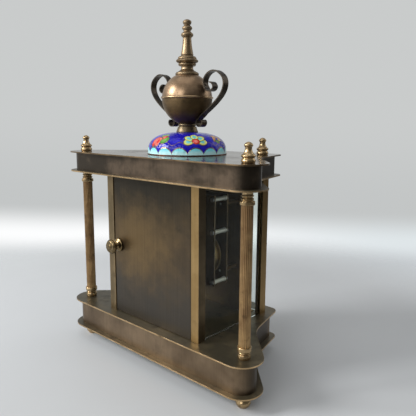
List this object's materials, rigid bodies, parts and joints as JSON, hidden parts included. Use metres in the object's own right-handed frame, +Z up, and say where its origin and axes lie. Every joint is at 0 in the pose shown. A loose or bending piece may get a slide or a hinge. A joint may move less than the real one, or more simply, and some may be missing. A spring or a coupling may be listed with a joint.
{
  "type": "lantern clock",
  "caption": "Brass mantel clock: glazed case between base and frieze, fluted columns, hinged back door, dial with hands and a covered urn on an enamelled dome.",
  "frame": {"origin": "under the middle of the clock's box, on the surface that the feet stand on", "axes": "+Z up, the dial looks along -Y and the back door along +Y, +X is the clock's right as seen from the dial side"},
  "size_m": [0.251, 0.1304, 0.3357],
  "materials": {
    "plate_brass": "aged brass sheet, satin, edges polished bright",
    "band_bronze": "darkened brass strip, satin",
    "post_brass": "satin antique brass bar",
    "column_brass": "fluted antique brass",
    "turned_brass": "turned and polished antique brass",
    "door_brass": "dark mottled patina, vertical brushing",
    "urn_brass": "satin brown antique brass",
    "handle_bronze": "near-black bronze patina",
    "enamel": "cobalt cloisonne enamel, glossy, fine brass wires",
    "rim_copper": "dark copper edge",
    "glass": "clear flat glass",
    "dial_enamel": "ivory enamelled metal dial, satin",
    "mask_brass": "dark matted brass",
    "hand_steel": "blued steel",
    "movement_brass": "brushed brass",
    "movement_steel": "plain steel",
    "rod_steel": "threaded steel rod"
  },
  "bodies": {
    "case": {"base_band": "band_bronze", "base_bottom_plate": "plate_brass", "base_top_plate": "plate_brass", "case_screws": "rod_steel", "column_left": "column_brass", "column_right": "column_brass", "dial_bezel": "turned_brass", "dial_disc": "dial_enamel", "dial_mask": "mask_brass", "dome_rim": "rim_copper", "door_catch": "rod_steel", "enamel_dome": "enamel", "finial_front_left": "turned_brass", "finial_front_right": "turned_brass", "finial_rear_left": "turned_brass", "finial_rear_right": "turned_brass", "foot_front_left": "turned_brass", "foot_front_right": "turned_brass", "foot_rear_left": "turned_brass", "foot_rear_right": "turned_brass", "frieze_band": "band_bronze", "frieze_bottom_plate": "plate_brass", "front_glass": "glass", "front_post_left": "post_brass", "front_post_right": "post_brass", "hinge_pins": "rod_steel", "movement_back_plate": "movement_brass", "movement_front_plate": "movement_brass", "movement_pillars": "movement_brass", "movement_screws": "movement_steel", "rear_post_left": "post_brass", "rear_post_right": "post_brass", "side_glass_left": "glass", "side_glass_right": "glass", "tie_rods": "rod_steel", "top_plate": "plate_brass", "urn_cover": "urn_brass", "urn_foot": "turned_brass", "urn_handle_left": "handle_bronze", "urn_handle_right": "handle_bronze", "urn_lower_bowl": "urn_brass", "urn_spire": "turned_brass"},
    "door": {"back_door": "door_brass", "door_knob": "turned_brass"},
    "centre_arbor": {"centre_wheel": "movement_brass", "cannon_pinion": "movement_steel", "minute_hand": "hand_steel", "hand_nut": "hand_steel"},
    "hour_pipe": {"hour_wheel": "movement_brass", "hour_hand": "hand_steel"},
    "minute_wheel": {"minute_wheel": "movement_brass"},
    "third_arbor": {"third_wheel": "movement_brass"},
    "escape_arbor": {"escape_wheel": "movement_brass"},
    "barrel": {"spring_barrel": "movement_brass", "mainspring": "movement_steel"},
    "winding_arbor": {"winding_arbor": "movement_steel", "ratchet_wheel": "movement_steel"},
    "click": {"click": "movement_steel"},
    "pendulum": {"anchor": "movement_steel", "pendulum": "movement_brass"}
  },
  "joints": [
    {"name": "door_hinge", "type": "hinge", "parent": "case", "child": "door", "pos_m": [-0.05235, 0.04955, 0.044], "axis": [0, 0, 1], "range_deg": [0, 90]},
    {"name": "minute_hand_turn", "type": "hinge", "parent": "case", "child": "centre_arbor", "pos_m": [0, 0.00685, 0.126], "axis": [0, 1, 0], "continuous": true},
    {"name": "hour_hand_turn", "type": "hinge", "parent": "case", "child": "hour_pipe", "pos_m": [0, 0.00685, 0.126], "axis": [0, 1, 0], "continuous": true},
    {"name": "minute_wheel_turn", "type": "hinge", "parent": "case", "child": "minute_wheel", "pos_m": [0.01128, 0.00685, 0.1301], "axis": [0, 1, 0], "continuous": true},
    {"name": "third_wheel_turn", "type": "hinge", "parent": "case", "child": "third_arbor", "pos_m": [0.0072, 0.00685, 0.13847], "axis": [0, 1, 0], "continuous": true},
    {"name": "escape_wheel_turn", "type": "hinge", "parent": "case", "child": "escape_arbor", "pos_m": [0, 0.00685, 0.14794], "axis": [0, 1, 0], "continuous": true},
    {"name": "barrel_turn", "type": "hinge", "parent": "case", "child": "barrel", "pos_m": [-0.01718, 0.00685, 0.10882], "axis": [0, 1, 0], "continuous": true},
    {"name": "winding", "type": "hinge", "parent": "case", "child": "winding_arbor", "pos_m": [-0.01718, 0.00685, 0.10882], "axis": [0, -1, 0], "continuous": true},
    {"name": "click_lift", "type": "hinge", "parent": "case", "child": "click", "pos_m": [-0.00718, 0.00685, 0.11822], "axis": [0, 1, 0], "range_deg": [0, 12], "stiffness_Nm_per_rad": 0.0005, "springref_deg": -17.19},
    {"name": "pendulum_swing", "type": "hinge", "parent": "case", "child": "pendulum", "pos_m": [0, 0.00685, 0.15785], "axis": [0, 1, 0], "range_deg": [-4, 4]}
  ],
  "couplings": [
    {"joint": "hour_hand_turn", "follows": "minute_hand_turn", "ratio": 0.083333},
    {"joint": "minute_wheel_turn", "follows": "minute_hand_turn", "ratio": -0.33333},
    {"joint": "third_wheel_turn", "follows": "minute_hand_turn", "ratio": -8},
    {"joint": "escape_wheel_turn", "follows": "minute_hand_turn", "ratio": 60},
    {"joint": "barrel_turn", "follows": "minute_hand_turn", "ratio": -0.125}
  ]
}
